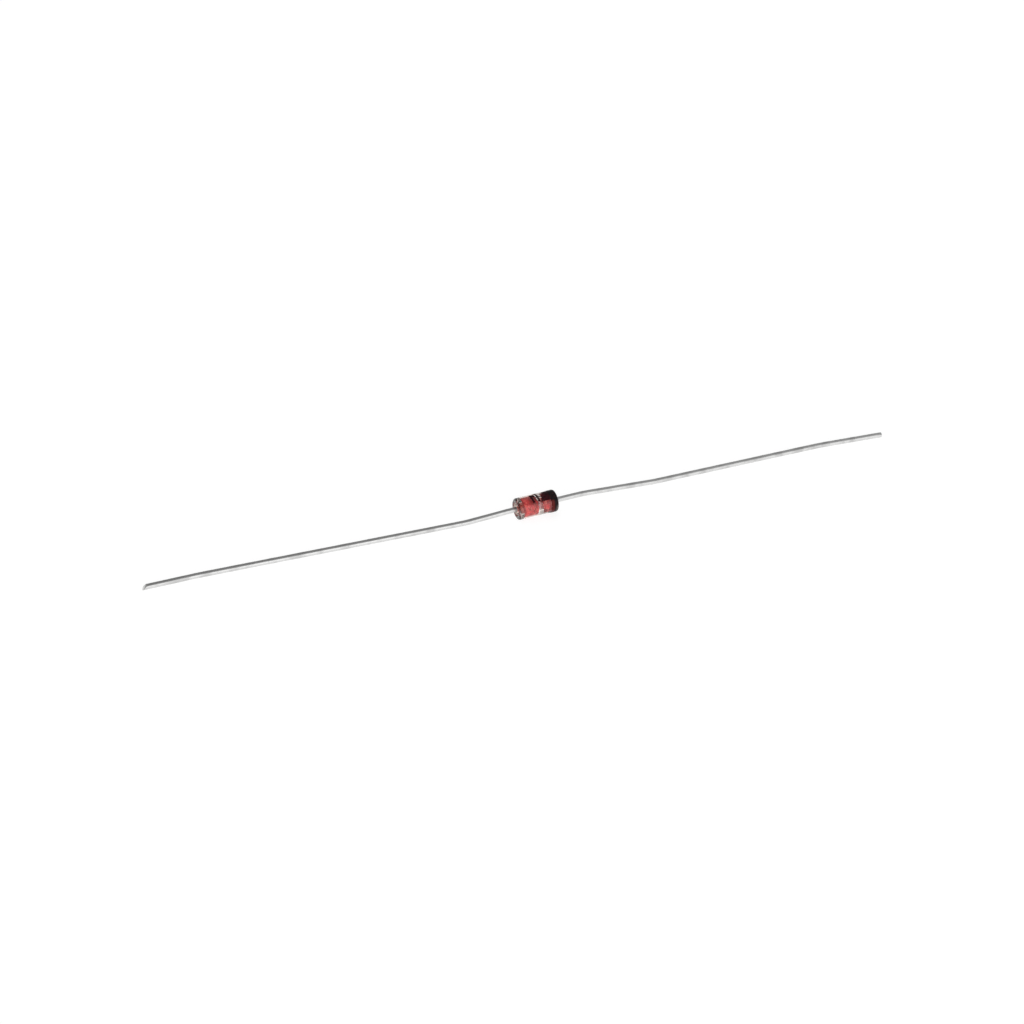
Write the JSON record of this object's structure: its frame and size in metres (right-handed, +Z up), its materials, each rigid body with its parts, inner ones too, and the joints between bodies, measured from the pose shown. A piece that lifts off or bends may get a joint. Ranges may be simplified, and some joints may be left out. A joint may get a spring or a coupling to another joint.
{
  "type": "zener diode",
  "caption": "Axial glass zener diode: red slugs and a chip sealed in a clear sleeve, a black cathode band and long tinned wire leads that go through a circuit board.",
  "frame": {"origin": "on the table at the middle of the footprint, midway between the two lead tips", "axes": "+X along the body from the anode to the banded cathode, +Y to the back, +Z up"},
  "size_m": [0.0655, 0.0036, 0.0019],
  "materials": {
    "clear_glass": "clear, fire-polished",
    "red_slug": "oxidised copper sheath under glass",
    "silicon": "sawn and etched silicon",
    "silver": "plated silver",
    "tinned_wire": "tinned, slightly dull",
    "black_ink": "baked ink"
  },
  "bodies": {
    "root": {"glass_sleeve": "clear_glass", "anode_slug": "red_slug", "cathode_slug": "red_slug", "silicon_die": "silicon", "contact_button": "silver", "anode_lead": "tinned_wire", "cathode_lead": "tinned_wire", "cathode_band": "black_ink"}
  },
  "joints": []
}
